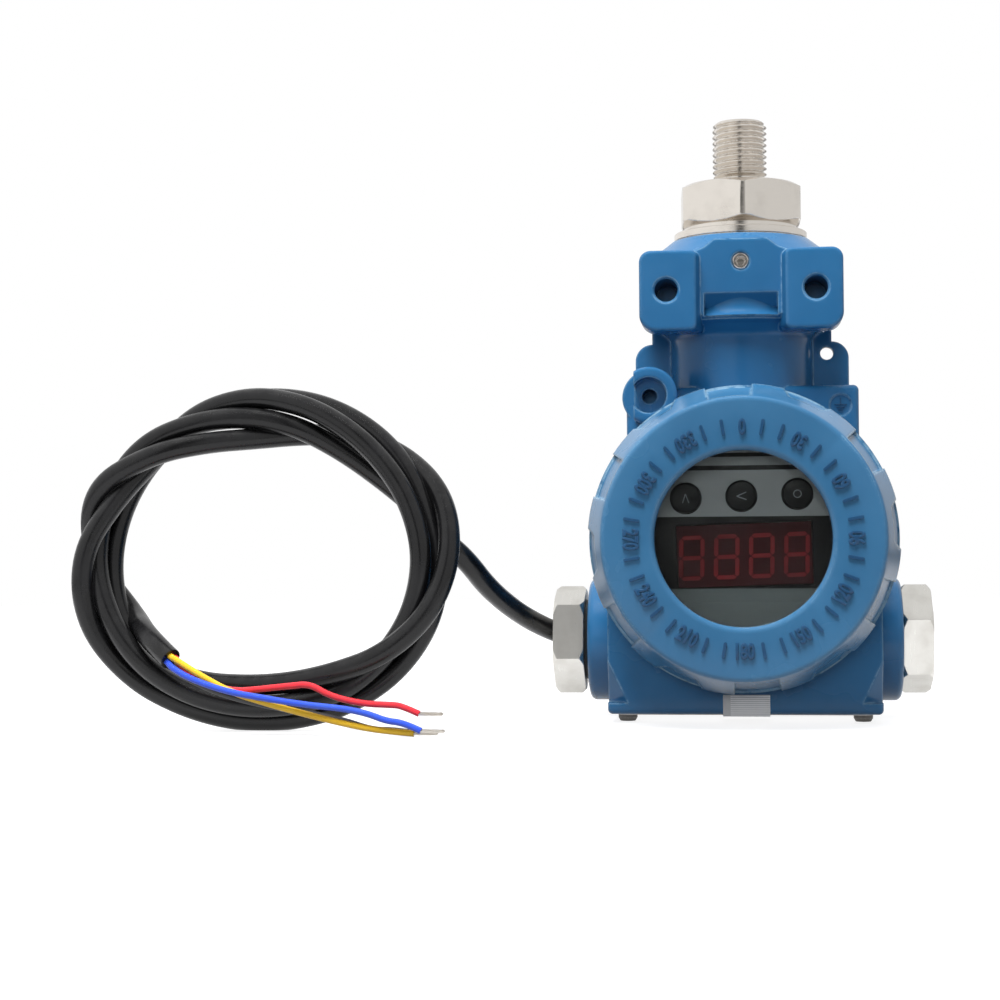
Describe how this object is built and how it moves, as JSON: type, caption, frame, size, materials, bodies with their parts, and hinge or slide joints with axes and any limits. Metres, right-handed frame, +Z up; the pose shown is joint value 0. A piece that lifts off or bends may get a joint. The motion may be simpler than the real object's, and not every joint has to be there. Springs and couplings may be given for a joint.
{
  "type": "pressure transmitter",
  "caption": "Pressure transmitter: round two-chamber cast housing with a windowed display cover, bracket lugs, threaded process stub, cable gland, blanking plug and a coiled signal cable.",
  "frame": {"origin": "on the floor below the middle of the body, which stands on its nameplate screws", "axes": "+Z up with the process thread on top, -Y the display side, +X the blanking plug side"},
  "size_m": [0.205, 0.1192, 0.15],
  "materials": {
    "blue_paint": "satin sprayed paint over a cast shell",
    "stainless": "turned stainless steel",
    "plated": "brushed bare metal",
    "plain_steel": "plain steel fastener",
    "plate": "thin bare plate",
    "label": "white paper with fine dark lines",
    "black_rubber": "soft black rubber",
    "glass": "clear plate glass",
    "fascia": "grey printed film on a moulded plate",
    "lens": "dark red tinted acrylic",
    "digits": "dark potted display block",
    "button": "black moulded key",
    "board": "green circuit board",
    "black_plastic": "black moulding",
    "ribbon": "grey flat lead",
    "cable_jacket": "satin black sheath",
    "core_yellow": "yellow insulation",
    "core_blue": "blue insulation",
    "core_red": "red insulation",
    "core_black": "black insulation",
    "tinned": "tinned copper strands"
  },
  "bodies": {
    "housing": {"housing": "blue_paint", "display_fascia": "fascia", "display_lens": "lens", "led_digit_block": "digits", "key_switches": "black_plastic", "display_board": "board", "board_spacers": "plain_steel", "main_board": "board", "partition_standoffs": "plain_steel", "board_connector": "black_plastic", "sensor_ribbon": "ribbon", "feedthrough_header": "plain_steel", "terminal_block": "black_plastic", "terminal_screws": "plain_steel", "gland_body": "plated", "gland_gasket": "black_rubber", "gland_grommet": "black_rubber", "blanking_plug": "plated", "blanking_plug_seal": "black_rubber", "lock_screw": "plain_steel", "nameplate": "plate", "nameplate_screws": "plain_steel", "seal_label": "label", "cable_lead": "cable_jacket", "cable_coil": "cable_jacket", "cable_tail": "cable_jacket", "wire_yellow": "core_yellow", "wire_blue": "core_blue", "wire_red": "core_red", "wire_black": "core_black", "wire_tips": "tinned"},
    "front_cover_seal": {"front_cover_oring": "black_rubber"},
    "front_cover": {"front_cover": "blue_paint", "window_glass": "glass", "glass_gasket": "black_rubber", "glass_retaining_ring": "plain_steel"},
    "rear_cover_seal": {"rear_cover_oring": "black_rubber"},
    "rear_cover": {"rear_cover": "blue_paint"},
    "button_left": {"button_left": "button"},
    "button_middle": {"button_middle": "button"},
    "button_right": {"button_right": "button"},
    "sensor_module": {"module_body": "stainless", "module_oring": "black_rubber", "sensor_capsule": "stainless", "isolating_diaphragm": "stainless", "process_fitting": "stainless"}
  },
  "joints": [
    {"name": "front_cover_travel", "type": "slide", "parent": "housing", "child": "front_cover_seal", "axis": [0, -1, 0], "range_m": [0, 0.008]},
    {"name": "front_cover_turn", "type": "hinge", "parent": "front_cover_seal", "child": "front_cover", "pos_m": [0, -0.035, 0.0445], "axis": [0, -1, 0], "range_deg": [0, 1430]},
    {"name": "rear_cover_travel", "type": "slide", "parent": "housing", "child": "rear_cover_seal", "axis": [0, 1, 0], "range_m": [0, 0.008]},
    {"name": "rear_cover_turn", "type": "hinge", "parent": "rear_cover_seal", "child": "rear_cover", "pos_m": [0, 0.035, 0.0445], "axis": [0, 1, 0], "range_deg": [0, 1430]},
    {"name": "left_button_press", "type": "slide", "parent": "housing", "child": "button_left", "axis": [0, 1, 0], "range_m": [0, 0.0005], "stiffness_N_per_m": 1600, "springref_m": -0.0003},
    {"name": "middle_button_press", "type": "slide", "parent": "housing", "child": "button_middle", "axis": [0, 1, 0], "range_m": [0, 0.0005], "stiffness_N_per_m": 1600, "springref_m": -0.0003},
    {"name": "right_button_press", "type": "slide", "parent": "housing", "child": "button_right", "axis": [0, 1, 0], "range_m": [0, 0.0005], "stiffness_N_per_m": 1600, "springref_m": -0.0003},
    {"name": "module_swivel", "type": "hinge", "parent": "housing", "child": "sensor_module", "pos_m": [0, 0, 0.1], "axis": [0, 0, 1], "range_deg": [-90, 90]}
  ],
  "couplings": [
    {"joint": "front_cover_travel", "follows": "front_cover_turn", "m_per_rad": 0.00031831},
    {"joint": "rear_cover_travel", "follows": "rear_cover_turn", "m_per_rad": 0.00031831}
  ]
}
